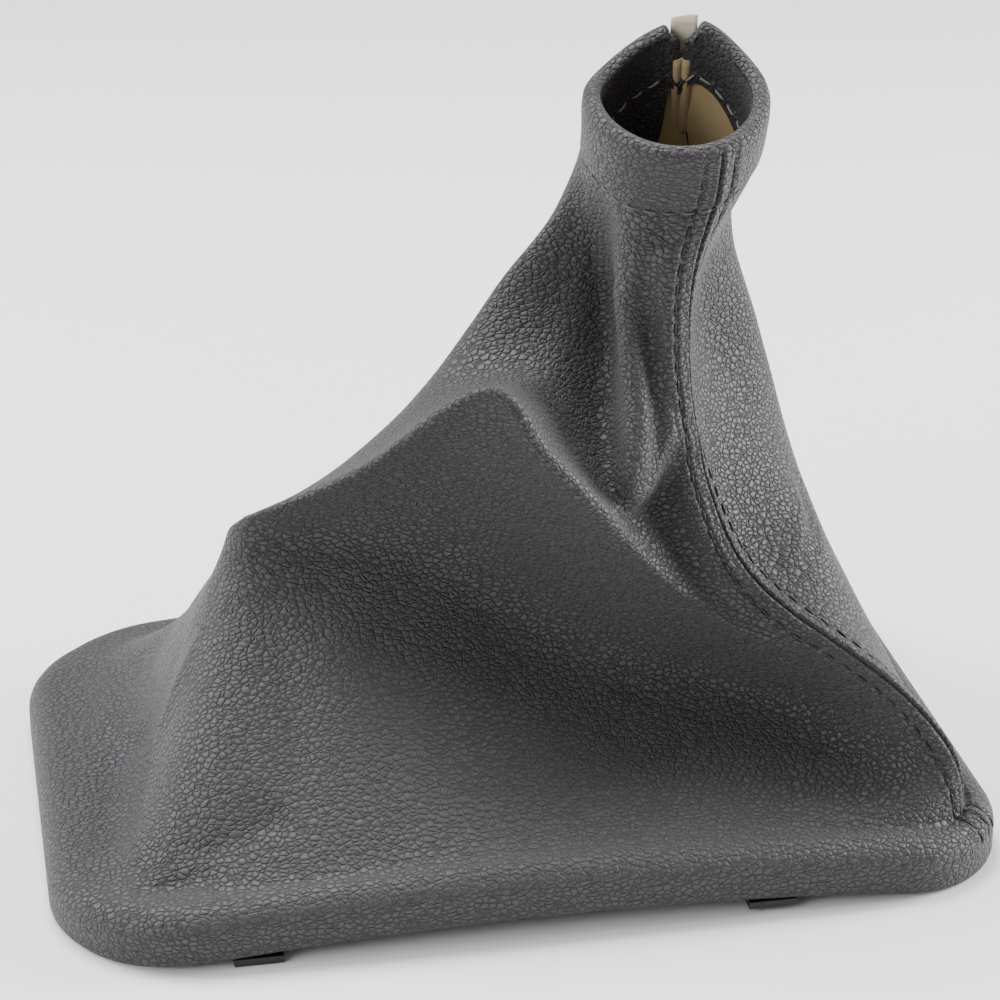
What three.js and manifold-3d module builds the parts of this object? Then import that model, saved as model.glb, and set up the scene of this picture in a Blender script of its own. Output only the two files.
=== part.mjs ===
// A gaiter for a car's gear lever: two leather panels sewn into a folded hood, with a hemmed collar
// that opens at the back, drawn over an arched plastic frame with four clip hooks.
// Millimetres. X runs along the frame, Y from the front edge to the back edge, Z up.
// The origin is on the surface that the frame stands on, under the middle of the frame.
import * as THREE from 'three';
import { mergeVertices } from 'three/addons/utils/BufferGeometryUtils.js';
import Module from 'manifold-3d';

// Frame, measured over the leather
const FRAME_LENGTH = 200;
const FRAME_WIDTH = 136;
const LEFT_CORNER_RADIUS = 31;
const RIGHT_CORNER_RADIUS = 25;
const RIM_HEIGHT = 11.5;
const RIM_ROUND = 5;
const FRAME_ARCH = 4.5;
const FLAT_END = 12;
const SKIRT_WALL = 2.4;
const FLANGE_THICKNESS = 2.2;
const FLANGE_WIDTH = 9;
const SIDE_FLANGE_WIDTH = 7.5;
const SEAM_FLANGE_WIDTH = 6.5;
const SHELF_WIDTH = 22;
const FRONT_SEAM_SHIFT = 4;

// Clip hooks under the long edges
const HOOK_WIDTH = 10;
const HOOK_THICKNESS = 1.5;
const HOOK_REACH = 1;
const LEFT_HOOK_X = -60;
const RIGHT_HOOK_X = 46;

// Collar
const COLLAR_X = 37.4;
const COLLAR_Y = -4;
const COLLAR_HEIGHT = 157;
const COLLAR_RADIUS = 19;
const COLLAR_DEPTH_RATIO = 1.04;
const COLLAR_TAPER = 0.16;
const COLLAR_TILT = 24;
const COLLAR_SIDE_TILT = 3;
const HEM_HEIGHT = 16;
const HEM_THICKNESS = 2.8;
const HEM_WAIST = 0.6;
const ROLL_RADIUS = 1.8;
const SLIT_WIDTH = 1.7;
const SLIT_SPREAD = 14;
const LIP_RISE = 3;
const LIP_RISE_TURN = 52;
const LIP_RISE_SPREAD = 24;
const LIP_DROP = 3.2;
const LIP_DROP_TURN = 135;
const LIP_DROP_SPREAD = 32;

// Leather and clearances
const LEATHER = 1.3;
const TURNED_IN = 7;
const GAP = 0.3;

// How far apart the columns of the mesh stand along the frame
const COLUMN_SPACING = 11;

const halfLength = FRAME_LENGTH / 2;
const halfWidth = FRAME_WIDTH / 2;
const leftQuarter = (Math.PI / 2) * LEFT_CORNER_RADIUS;
const rightQuarter = (Math.PI / 2) * RIGHT_CORNER_RADIUS;
const collarCentre = new THREE.Vector3(COLLAR_X, COLLAR_Y, COLLAR_HEIGHT);

// The centre of curvature of one corner of the frame, and its radius
const corner = (right, back, radius) => ({
  x: right * (halfLength - radius),
  y: back * (halfWidth - radius),
  radius,
});
const frontRight = corner(1, -1, RIGHT_CORNER_RADIUS);
const frontLeft = corner(-1, -1, LEFT_CORNER_RADIUS);
const backLeft = corner(-1, 1, LEFT_CORNER_RADIUS);
const backRight = corner(1, 1, RIGHT_CORNER_RADIUS);

// The outline is walked clockwise from the middle of the front right corner. On each leg the centre of
// curvature, the radius and the direction of the outward normal change evenly.
const legs = [
  { length: rightQuarter / 2, from: frontRight, to: frontRight, normal: [-45, -90] },
  { length: frontRight.x - frontLeft.x, from: frontRight, to: frontLeft, normal: [-90, -90] },
  { length: leftQuarter, from: frontLeft, to: frontLeft, normal: [-90, -180] },
  { length: backLeft.y - frontLeft.y, from: frontLeft, to: backLeft, normal: [-180, -180] },
  { length: leftQuarter, from: backLeft, to: backLeft, normal: [-180, -270] },
  { length: backRight.x - backLeft.x, from: backLeft, to: backRight, normal: [-270, -270] },
  { length: rightQuarter, from: backRight, to: backRight, normal: [-270, -360] },
  { length: backRight.y - frontRight.y, from: backRight, to: frontRight, normal: [-360, -360] },
  { length: rightQuarter / 2, from: frontRight, to: frontRight, normal: [-360, -405] },
];
const walkTo = (leg) => legs.slice(0, leg).reduce((sum, { length }) => sum + length, 0);
const perimeter = walkTo(legs.length);

// Places on the outline, as lengths along that walk. Arguments are shares of half the length or width.
const frontEdge = (share) => walkTo(1) + frontRight.x - share * halfLength;
const frontLeftCorner = walkTo(2) + leftQuarter / 2;
const leftEdge = (share) => walkTo(3) - frontLeft.y + share * halfWidth;
const backLeftCorner = walkTo(4) + leftQuarter / 2;
const backEdge = (share) => walkTo(5) - backLeft.x + share * halfLength;
const backRightCorner = walkTo(6) + rightQuarter / 2;
const rightEdge = (share) => walkTo(7) + backRight.y - share * halfWidth;

// Sections through the leather, one at each station round the gaiter. `edge` is the place on the frame,
// `turn` the direction round the collar in degrees, `flange` how far in from the edge the leather leaves
// the frame. `section` goes up from the frame to the collar. Its points are percentages: sideways of half
// the frame's length, backwards of half its width, and up of the collar's height, all counted from the
// line that leans from the middle of the frame to the middle of the collar.
const stations = [
  { // front seam, on the front right corner
    edge: -FRONT_SEAM_SHIFT, turn: -74, flange: SEAM_FLANGE_WIDTH,
    section: [[83.5, -80.5, 15.5], [70, -73, 24], [56.5, -64, 29.5], [45.5, -53.5, 33],
      [31.5, -39, 38.5], [20.5, -27, 52], [12.5, -21, 65.5], [8.5, -19, 78]],
  },
  { // right end of the front pocket
    edge: frontEdge(0.62), turn: -91, flange: FLANGE_WIDTH,
    section: [[66.5, -81, 10.5], [57, -51, 16], [52, -45.5, 21.5], [42.5, -52, 29],
      [23.5, -38, 41], [13.5, -30, 55.5], [7.5, -24, 67.5], [3, -21.5, 78.5]],
  },
  { // the pocket, and the tuck under the neck
    edge: frontEdge(0.4), turn: -109, flange: FLANGE_WIDTH,
    section: [[37, -78, 10.5], [35, -33, 18], [30.5, -35.5, 25.5], [22, -45, 35.5],
      [17.5, -27.5, 44], [8.5, -36.5, 54.5], [5.5, -17.5, 67], [-0.5, -19, 78.5]],
  },
  { // the tip of the neck's pouch
    edge: frontEdge(0.17), turn: -131, flange: FLANGE_WIDTH,
    section: [[12.5, -76, 11], [12.5, -24, 20.5], [6.5, -30.5, 32.5], [-2.5, -47, 49.5],
      [3, -35.5, 48.5], [3, -42.5, 53], [0.5, -18, 66], [-5.5, -13, 77.5]],
  },
  { // beside the neck
    edge: frontEdge(-0.08), turn: -154, flange: FLANGE_WIDTH,
    section: [[-12, -71.5, 12.5], [-8.5, -15, 27.5], [-11.5, -24.5, 40], [-17.5, -46.5, 58.5],
      [-2.5, -20.5, 53.5], [1.5, -2.5, 59.5], [0.5, 7, 69], [-3.5, 7.5, 78.5]],
  },
  { // the middle peak
    edge: frontEdge(-0.32), turn: -176, flange: FLANGE_WIDTH,
    section: [[-36, -70, 15], [-30, -12, 36], [-30.5, -20, 47.5], [-32.5, -41.5, 67.5],
      [-16.5, -9.5, 61], [-10.5, 6.5, 65.5], [-8, 13.5, 72], [-8, 15, 80]],
  },
  { // the ridge between the peaks
    edge: frontEdge(-0.56), turn: -197, flange: FLANGE_WIDTH,
    section: [[-58, -69, 15.5], [-51.5, -10.5, 39.5], [-52.5, -15, 46], [-52.5, -24.5, 53.5],
      [-35.5, 5, 58.5], [-26.5, 15, 67], [-20.5, 19.5, 74.5], [-12.5, 20, 81.5]],
  },
  { // the left peak, over the front left corner
    edge: frontLeftCorner, turn: -215, flange: (FLANGE_WIDTH + SHELF_WIDTH) / 2,
    section: [[-78, -52, 17], [-72, -15.5, 33.5], [-70.5, -9.5, 40], [-72, -9, 45],
      [-45, 20.5, 44.5], [-29.5, 25, 55], [-22, 26, 67.5], [-13, 25.5, 79]],
  },
  { // left side, with the wide shelf
    edge: leftEdge(-0.26), turn: -230, flange: SHELF_WIDTH,
    section: [[-80, -8, 16.5], [-77.5, 1.5, 25.5], [-74, 8, 32.5], [-67.5, 15.5, 38],
      [-41.5, 34.5, 38.5], [-25, 36.5, 47.5], [-16, 34.5, 61.5], [-10, 30, 76]],
  },
  { // left side, towards the back
    edge: leftEdge(0.3), turn: -243, flange: SHELF_WIDTH,
    section: [[-77, 42, 14], [-71, 45.5, 21.5], [-64.5, 47, 28], [-56, 50.5, 34.5],
      [-39, 50, 39], [-27.5, 44.5, 48], [-16.5, 40, 60.5], [-10.5, 34.5, 76.5]],
  },
  { // back left corner
    edge: backLeftCorner, turn: -254, flange: (FLANGE_WIDTH + SHELF_WIDTH) / 2,
    section: [[-70.5, 68, 14], [-61, 63, 20.5], [-52.5, 60.5, 27], [-44.5, 59, 33],
      [-32, 57, 42], [-22, 51, 53.5], [-14, 45.5, 66], [-8.5, 38.5, 81]],
  },
  { // back, left part
    edge: backEdge(-0.42), turn: -264, flange: FLANGE_WIDTH,
    section: [[-39, 80.5, 17.5], [-32, 75, 27], [-26.5, 69.5, 36], [-21.5, 64.5, 45],
      [-16.5, 58.5, 55], [-10, 51.5, 66], [-5.5, 45, 76], [-1, 39.5, 86]],
  },
  { // back, middle
    edge: backEdge(-0.02), turn: -271.5, flange: FLANGE_WIDTH,
    section: [[-4.5, 82, 18], [-3, 75.5, 27.5], [-2, 69.5, 36], [-1, 64, 45],
      [0.5, 57.5, 55.5], [1.5, 51, 66], [2, 45.5, 76], [3, 39.5, 86]],
  },
  { // back, right part
    edge: backEdge(0.4), turn: -279.5, flange: FLANGE_WIDTH,
    section: [[33.5, 82, 17.5], [30.5, 75.5, 27], [27, 69.5, 36], [24, 63.5, 45],
      [20, 57.5, 55.5], [16.5, 51, 66], [13, 45, 76], [9, 39, 86]],
  },
  { // back seam, on the back right corner
    edge: backRightCorner, turn: -289, flange: FLANGE_WIDTH,
    section: [[74.5, 73, 16], [66, 68, 26], [58, 63, 35], [50, 58, 44],
      [41.5, 52.5, 54.5], [32.5, 47, 65.5], [24.5, 42, 75.5], [16, 37.5, 86]],
  },
  { // right side, towards the back
    edge: rightEdge(0.3), turn: -336, flange: SIDE_FLANGE_WIDTH,
    section: [[81, 26, 16], [71, 23.5, 24], [63, 22.5, 32], [56, 21.5, 39.5],
      [49, 22, 49], [41, 22.5, 59], [30.5, 22, 70], [22, 19.5, 81.5]],
  },
  { // right side, towards the front
    edge: rightEdge(-0.26), turn: -385, flange: SIDE_FLANGE_WIDTH,
    section: [[80.5, -31.5, 16.5], [70, -23.5, 25.5], [62.5, -17, 32.5], [55.5, -12.5, 39],
      [44.5, -4.5, 46.5], [31, 3.5, 56.5], [18.5, 5.5, 67.5], [17, 6, 77]],
  },
  { // right side, next to the front seam
    edge: rightEdge(-0.56), turn: -412, flange: SIDE_FLANGE_WIDTH,
    section: [[81, -59, 17], [69.5, -52, 25.5], [60, -43.5, 31.5], [52.5, -35, 36.5],
      [39.5, -23, 42.5], [26, -12, 54], [15, -8, 66], [13, -7, 77.5]],
  },
];
const percent = 0.01;
const backSeam = stations.findIndex((station) => station.edge === backRightCorner);
// the section's point whose control is doubled, which makes a ridge there
const ridge = 3;

// A smooth curve through one number for each station. `lap` is what the number gains in a full turn.
function roundStations(values, place, lap = 0) {
  const count = values.length;
  const at = (k) => values[((k % count) + count) % count] + Math.floor(k / count) * lap;
  const k = Math.floor(place);
  const f = place - k;
  const [a, b, c, d] = [at(k - 1), at(k), at(k + 1), at(k + 2)];
  const square = (2 * a - 5 * b + 4 * c - d) * f ** 2;
  const cube = (3 * b - a - 3 * c + d) * f ** 3;
  return (2 * b + (c - a) * f + square + cube) / 2;
}

const edgeAt = (place) => roundStations(stations.map((s) => s.edge), place, perimeter);
const turnAt = (place) => roundStations(stations.map((s) => s.turn), place, -360);
const flangeAt = (place) => roundStations(stations.map((s) => s.flange), place);

// The frame's underside is flat at its two ends and rises to the middle.
function archAt(x) {
  const share = x / (halfLength - FLAT_END);
  return FRAME_ARCH * Math.max(0, 1 - share * share);
}

// A point of the frame: in from the outline at a station place, and up from its underside.
function framePoint(place, inset, height) {
  let walk = edgeAt(place) % perimeter;
  if (walk < 0) walk += perimeter;
  let k = 0;
  while (k < legs.length - 1 && walk > legs[k].length) {
    walk -= legs[k].length;
    k += 1;
  }
  const { length, from, to, normal } = legs[k];
  const share = Math.min(walk / length, 1);
  const angle = THREE.MathUtils.degToRad(THREE.MathUtils.lerp(...normal, share));
  const out = THREE.MathUtils.lerp(from.radius, to.radius, share) - inset;
  const x = THREE.MathUtils.lerp(from.x, to.x, share) + out * Math.cos(angle);
  const y = THREE.MathUtils.lerp(from.y, to.y, share) + out * Math.sin(angle);
  return new THREE.Vector3(x, y, height + archAt(x));
}

// The collar is a tilted oval, narrower towards its back. Its lip stands higher right of the back slit and lower left of it.
const collarAxis = new THREE.Vector3(
  -Math.sin(THREE.MathUtils.degToRad(COLLAR_SIDE_TILT)),
  -Math.sin(THREE.MathUtils.degToRad(COLLAR_TILT)),
  Math.cos(THREE.MathUtils.degToRad(COLLAR_TILT)),
).normalize();
const collarSide = new THREE.Vector3(1, 0, 0).addScaledVector(collarAxis, -collarAxis.x).normalize();
const collarBack = new THREE.Vector3().crossVectors(collarAxis, collarSide);

function bump(turn, centre, width) {
  const away = THREE.MathUtils.euclideanModulo(turn - centre + 180, 360) - 180;
  return Math.exp(-((away / width) ** 2));
}

// `panel` is 1 for the main panel and -1 for the side panel, which part at the slit.
function collarPoint(place, panel, radius, drop) {
  const nearRim = THREE.MathUtils.clamp(1 - drop / HEM_HEIGHT, 0, 1);
  const halfSlit = THREE.MathUtils.radToDeg(SLIT_WIDTH / 2 / COLLAR_RADIUS);
  const sewn = turnAt(place);
  const turn = sewn + panel * halfSlit * nearRim * bump(sewn, stations[backSeam].turn, SLIT_SPREAD);
  const angle = THREE.MathUtils.degToRad(turn);
  const rise = LIP_RISE * bump(turn, LIP_RISE_TURN, LIP_RISE_SPREAD);
  const fall = LIP_DROP * bump(turn, LIP_DROP_TURN, LIP_DROP_SPREAD);
  const lift = nearRim * (rise - fall);
  const narrowed = 1 - COLLAR_TAPER * nearRim * Math.max(0, Math.sin(angle)) ** 2;
  return collarCentre.clone()
    .addScaledVector(collarAxis, lift - drop)
    .addScaledVector(collarSide, radius * narrowed * Math.cos(angle))
    .addScaledVector(collarBack, radius * COLLAR_DEPTH_RATIO * Math.sin(angle));
}

// A point of a section, between the stations.
function foldPoint(place, level) {
  const [across, back, up] = [0, 1, 2].map((axis) => (
    roundStations(stations.map((s) => s.section[level][axis]), place) * percent
  ));
  return new THREE.Vector3(
    up * COLLAR_X + across * halfLength,
    up * COLLAR_Y + back * halfWidth,
    up * COLLAR_HEIGHT,
  );
}

// Where the leather is glued round the skirt: points on the skirt's surface and the way that they face,
// both as [in from the outline, up].
const skirtOuter = LEATHER + GAP;
const skirtInner = skirtOuter + SKIRT_WALL;
const skirtBottom = LEATHER + GAP;
const frameTop = RIM_HEIGHT - LEATHER - GAP;
const flangeUnder = frameTop - FLANGE_THICKNESS;
const shoulder = RIM_HEIGHT - RIM_ROUND;
const diagonal = Math.SQRT1_2;
const wrap = [
  { on: [skirtInner, TURNED_IN], face: [1, 0] },
  { on: [skirtInner, skirtBottom], face: [1, 0] },
  { on: [skirtInner, skirtBottom], face: [diagonal, -diagonal] },
  { on: [skirtInner, skirtBottom], face: [0, -1] },
  { on: [skirtOuter, skirtBottom], face: [0, -1] },
  { on: [skirtOuter, skirtBottom], face: [-diagonal, -diagonal] },
  { on: [skirtOuter, skirtBottom], face: [-1, 0] },
];
const roundSteps = 3;
const rimArc = (radius) => Array.from({ length: roundSteps + 1 }, (_, k) => {
  const angle = (k / roundSteps) * (Math.PI / 2);
  const face = [-Math.cos(angle), Math.sin(angle)];
  return { on: [RIM_ROUND + radius * face[0], shoulder + radius * face[1]], face };
});
wrap.push(...rimArc(RIM_ROUND - skirtOuter));

// Rows of leather points from the turned-in edge inside the skirt, over the rim and up to the roll.
// Each row gives the outer face and, where it isn't found from the surface's slope, the inner face.
function wrapRows(place) {
  const off = ({ on: [inset, height], face: [inwards, up] }, distance) => (
    framePoint(place, inset + distance * inwards, height + distance * up)
  );
  return wrap.map((row) => ({ outer: off(row, GAP + LEATHER), inner: off(row, GAP) }));
}

function hoodControls(place, panel) {
  const flange = flangeAt(place);
  const controls = [
    framePoint(place, RIM_ROUND, RIM_HEIGHT),
    framePoint(place, (RIM_ROUND + flange) / 2, RIM_HEIGHT),
    framePoint(place, flange, RIM_HEIGHT + GAP),
  ];
  stations[0].section.forEach((_, level) => {
    controls.push(foldPoint(place, level));
    if (level === ridge) controls.push(foldPoint(place, level));
  });
  controls.push(collarPoint(place, panel, COLLAR_RADIUS - HEM_WAIST, HEM_HEIGHT));
  controls.push(collarPoint(place, panel, COLLAR_RADIUS - HEM_WAIST / 2, HEM_HEIGHT / 2));
  controls.push(collarPoint(place, panel, COLLAR_RADIUS, ROLL_RADIUS));
  return controls;
}

// Rows in each span between two controls: more where the leather bends or runs far.
const spanRows = [1, 2, 2, 2, 2, 2, 1, 2, 2, 2, 2, 2, 2, 1];
const hemSpan = spanRows.length - 2;

// A uniform cubic B-spline that starts and ends on its first and last controls.
function splinePoint(controls, span, f) {
  const last = controls.length - 1;
  const at = (k) => {
    if (k < 0) return controls[0].clone().multiplyScalar(2).sub(controls[1]);
    if (k > last) return controls[last].clone().multiplyScalar(2).sub(controls[last - 1]);
    return controls[k];
  };
  const weights = [(1 - f) ** 3, 3 * f ** 3 - 6 * f * f + 4, -3 * f ** 3 + 3 * f * f + 3 * f + 1, f ** 3];
  const point = new THREE.Vector3();
  weights.forEach((weight, k) => point.addScaledVector(at(span - 1 + k), weight / 6));
  return point;
}

function hoodRows(place, panel) {
  const controls = hoodControls(place, panel);
  const rows = [];
  spanRows.forEach((count, span) => {
    const thickness = span < hemSpan ? LEATHER : HEM_THICKNESS;
    for (let k = 1; k <= count; k += 1) rows.push({ outer: splinePoint(controls, span, k / count), thickness });
  });
  return rows;
}

// The roll at the rim, in degrees up from its outermost point. It ends in a narrow flat on top.
const ROLL_ROWS = [30, 60, 78];
function rollRows(place, panel) {
  return ROLL_ROWS.map((degrees) => {
    const angle = THREE.MathUtils.degToRad(degrees);
    const middle = COLLAR_RADIUS - ROLL_RADIUS;
    const out = ROLL_RADIUS * Math.cos(angle);
    const drop = ROLL_RADIUS * (1 - Math.sin(angle));
    return {
      outer: collarPoint(place, panel, middle + out, drop),
      inner: collarPoint(place, panel, middle - out, drop),
    };
  });
}

const rowsAt = (place, panel) => [...wrapRows(place), ...hoodRows(place, panel), ...rollRows(place, panel)];

// One column of the leather. The inner face of the free leather lies one thickness in from the outer
// face, along the normal that the neighbouring rows and columns give.
function columnAt(place, panel) {
  const aside = 0.2;
  const rows = rowsAt(place, panel);
  const before = rowsAt(place - aside, panel);
  const after = rowsAt(place + aside, panel);
  rows.forEach((row, r) => {
    if (row.inner) return;
    const along = after[r].outer.clone().sub(before[r].outer);
    const up = rows[r + 1].outer.clone().sub(rows[r - 1].outer);
    const normal = up.cross(along).normalize();
    row.inner = row.outer.clone().addScaledVector(normal, -row.thickness);
  });
  return rows;
}

// Station places of the columns between two stations, spaced evenly along the frame in each span.
function placesBetween(from, to) {
  const places = [];
  for (let station = from; station < to; station += 1) {
    const count = Math.ceil((edgeAt(station + 1) - edgeAt(station)) / COLUMN_SPACING);
    for (let step = 0; step < count; step += 1) places.push(station + step / count);
  }
  return [...places, to];
}

// A closed solid between two seams. Its long edges stand back from the seams by half a gap.
function panelGeometry(from, to, panel) {
  const columns = placesBetween(from, to).map((place) => columnAt(place, panel));
  const last = columns.length - 1;
  const standBack = (edge, next) => edge.map((row, r) => {
    const moved = {};
    for (const skin of ['outer', 'inner']) {
      const inwards = next[r][skin].clone().sub(row[skin]).normalize();
      moved[skin] = row[skin].clone().addScaledVector(inwards, GAP / 2);
    }
    return moved;
  });
  columns[0] = standBack(columns[0], columns[1]);
  columns[last] = standBack(columns[last], columns[last - 1]);
  const top = columns[0].length - 1;
  const positions = [];
  const quad = (...corners) => {
    const [a, b, c, d] = corners.map(([column, row, skin]) => columns[column][row][skin]);
    [a, b, c, a, c, d].forEach((point) => positions.push(point.x, point.y, point.z));
  };
  for (let c = 0; c < last; c += 1) {
    for (let r = 0; r < top; r += 1) {
      quad([c, r, 'outer'], [c, r + 1, 'outer'], [c + 1, r + 1, 'outer'], [c + 1, r, 'outer']);
      quad([c, r, 'inner'], [c + 1, r, 'inner'], [c + 1, r + 1, 'inner'], [c, r + 1, 'inner']);
    }
    quad([c, 0, 'outer'], [c + 1, 0, 'outer'], [c + 1, 0, 'inner'], [c, 0, 'inner']);
    quad([c, top, 'outer'], [c, top, 'inner'], [c + 1, top, 'inner'], [c + 1, top, 'outer']);
  }
  for (let r = 0; r < top; r += 1) {
    quad([0, r, 'outer'], [0, r, 'inner'], [0, r + 1, 'inner'], [0, r + 1, 'outer']);
    quad([last, r, 'outer'], [last, r + 1, 'outer'], [last, r + 1, 'inner'], [last, r, 'inner']);
  }
  return closedGeometry(positions);
}

function closedGeometry(positions) {
  const geometry = new THREE.BufferGeometry();
  geometry.setAttribute('position', new THREE.Float32BufferAttribute(positions, 3));
  return mergeVertices(geometry, 1e-4);
}

// The frame's section is an outer skirt with a flange on top. It follows the same columns as the leather.
function frameGeometry() {
  const section = (place) => {
    const opening = flangeAt(place);
    const outer = rimArc(RIM_ROUND - skirtOuter).map(({ on }) => on);
    return [
      [skirtInner, skirtBottom], [skirtOuter, skirtBottom], ...outer,
      [opening, frameTop], [opening, flangeUnder], [skirtInner, flangeUnder],
    ].map(([inset, height]) => framePoint(place, inset, height));
  };
  const rings = placesBetween(0, stations.length).slice(0, -1).map(section);
  const positions = [];
  rings.forEach((ring, c) => {
    const next = rings[(c + 1) % rings.length];
    ring.forEach((_, k) => {
      const n = (k + 1) % ring.length;
      [ring[k], ring[n], next[n], ring[k], next[n], next[k]].forEach((p) => positions.push(p.x, p.y, p.z));
    });
  });
  return closedGeometry(positions);
}

// A clip hook hangs inside the skirt from the flange and turns out under the leather's lower edge.
function hookGeometry(x, side) {
  const footTop = archAt(Math.abs(x) + HOOK_WIDTH / 2) - GAP;
  const footBottom = footTop - HOOK_THICKNESS;
  const stemOut = halfWidth - skirtInner - 2 * GAP - LEATHER;
  const stemIn = stemOut - HOOK_THICKNESS;
  const tip = halfWidth - HOOK_REACH;
  const top = (flangeUnder + frameTop) / 2 + archAt(x);
  const shape = new THREE.Shape([
    [stemIn, top], [stemIn, footBottom], [tip, footBottom], [tip, footTop], [stemOut, footTop], [stemOut, top],
  ].map(([y, z]) => new THREE.Vector2(side * y, z)));
  const geometry = new THREE.ExtrudeGeometry(shape, { depth: HOOK_WIDTH, bevelEnabled: false });
  // the shape's plane turns to YZ and its depth to X
  const turn = new THREE.Matrix4().makeBasis(
    new THREE.Vector3(0, 1, 0), new THREE.Vector3(0, 0, 1), new THREE.Vector3(1, 0, 0),
  );
  return geometry.applyMatrix4(turn).translate(x - HOOK_WIDTH / 2, 0, 0);
}

const wasm = await Module();
wasm.setup();

function toSolid(geometry) {
  const bare = geometry.clone();
  bare.deleteAttribute('normal');
  bare.deleteAttribute('uv');
  const merged = mergeVertices(bare, 1e-4);
  return new wasm.Manifold(new wasm.Mesh({
    numProp: 3,
    vertProperties: new Float32Array(merged.attributes.position.array),
    triVerts: new Uint32Array(merged.index.array),
  }));
}

function toGeometry(solid) {
  const { vertProperties, triVerts } = solid.getMesh();
  const geometry = new THREE.BufferGeometry();
  geometry.setAttribute('position', new THREE.Float32BufferAttribute(vertProperties, 3));
  geometry.setIndex(new THREE.Uint32BufferAttribute(triVerts, 1));
  return geometry;
}

let frameSolid = toSolid(frameGeometry());
for (const x of [LEFT_HOOK_X, RIGHT_HOOK_X]) {
  for (const side of [-1, 1]) frameSolid = frameSolid.add(toSolid(hookGeometry(x, side)));
}

const leather = new THREE.MeshStandardMaterial({ color: 0x5c5a5e, roughness: 0.6, metalness: 0 });
const plastic = new THREE.MeshStandardMaterial({ color: 0x141415, roughness: 0.55, metalness: 0 });

function named(name, geometry, material) {
  geometry.computeVertexNormals();
  const mesh = new THREE.Mesh(geometry, material);
  mesh.name = name;
  return mesh;
}

const gaiter = new THREE.Group();
gaiter.add(named('base_frame', toGeometry(frameSolid), plastic));
gaiter.add(named('main_panel', panelGeometry(0, backSeam, 1), leather));
gaiter.add(named('side_panel', panelGeometry(backSeam, stations.length, -1), leather));

export default gaiter;
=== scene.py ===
"""A gaiter for a car's gear lever: a folded leather hood with a hemmed collar, on a clip-in frame.

The leather follows the same sections as the frame's solids, on a finer mesh, with its seams, hem,
creases and threads. Lengths are in millimetres until a mesh is made, and then in metres.
X runs along the frame, Y from its front edge to its back edge, Z up.
"""

import bpy
import numpy as np
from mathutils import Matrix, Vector, noise


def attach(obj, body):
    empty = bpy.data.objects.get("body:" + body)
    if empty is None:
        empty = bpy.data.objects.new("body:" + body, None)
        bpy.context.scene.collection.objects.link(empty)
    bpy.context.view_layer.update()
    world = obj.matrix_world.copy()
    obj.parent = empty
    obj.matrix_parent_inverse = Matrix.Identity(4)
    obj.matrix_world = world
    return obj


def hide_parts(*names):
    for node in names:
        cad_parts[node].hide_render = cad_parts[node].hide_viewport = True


# Frame, measured over the leather
FRAME_LENGTH = 200
FRAME_WIDTH = 136
LEFT_CORNER_RADIUS = 31
RIGHT_CORNER_RADIUS = 25
RIM_HEIGHT = 11.5
RIM_ROUND = 5
FRAME_ARCH = 4.5
FLAT_END = 12
SKIRT_WALL = 2.4
FLANGE_WIDTH = 9
SIDE_FLANGE_WIDTH = 7.5
SEAM_FLANGE_WIDTH = 6.5
SHELF_WIDTH = 22
FRONT_SEAM_SHIFT = 4

# Collar
COLLAR_X = 37.4
COLLAR_Y = -4
COLLAR_HEIGHT = 157
COLLAR_RADIUS = 19
COLLAR_DEPTH_RATIO = 1.04
COLLAR_TAPER = 0.16
COLLAR_TILT = 24
COLLAR_SIDE_TILT = 3
HEM_HEIGHT = 16
HEM_THICKNESS = 2.8
HEM_WAIST = 0.6
ROLL_RADIUS = 1.8
SLIT_WIDTH = 3
SLIT_SPREAD = 14
SLIT_DEPTH = 17
SLIT_CLOSING = 4
SLIT_RISE = 1.8
SLIT_RISE_SPREAD = 26
LIP_CORNER = 2.6
LIP_RISE = 3
LIP_RISE_TURN = 52
LIP_RISE_SPREAD = 24
LIP_DROP = 3.2
LIP_DROP_TURN = 135
LIP_DROP_SPREAD = 32

# Leather
LEATHER = 1.3
TURNED_IN = 7
GAP = 0.3

# Mesh fineness: the columns' spacing on the frame, closer near a seam, and the rows' spacing
COLUMN_SPACING = 1.4
SEAM_COLUMN_SPACING = 0.5
SEAM_COLUMNS_WITHIN = 6
ROW_SPACING = 1.15
WALK_SAMPLES = 4000
LEVEL_SAMPLES = 400
COLUMN_SAMPLES = 60
MEAN_SHARE = 0.6

PERCENT = 100
MM = 0.001

half_length = FRAME_LENGTH / 2
half_width = FRAME_WIDTH / 2
left_quarter = np.pi / 2 * LEFT_CORNER_RADIUS
right_quarter = np.pi / 2 * RIGHT_CORNER_RADIUS


def corner(right, back, radius):
    """The centre of curvature of one corner of the frame, and its radius."""
    return right * (half_length - radius), back * (half_width - radius), radius


FRONT_RIGHT = corner(1, -1, RIGHT_CORNER_RADIUS)
FRONT_LEFT = corner(-1, -1, LEFT_CORNER_RADIUS)
BACK_LEFT = corner(-1, 1, LEFT_CORNER_RADIUS)
BACK_RIGHT = corner(1, 1, RIGHT_CORNER_RADIUS)

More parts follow.
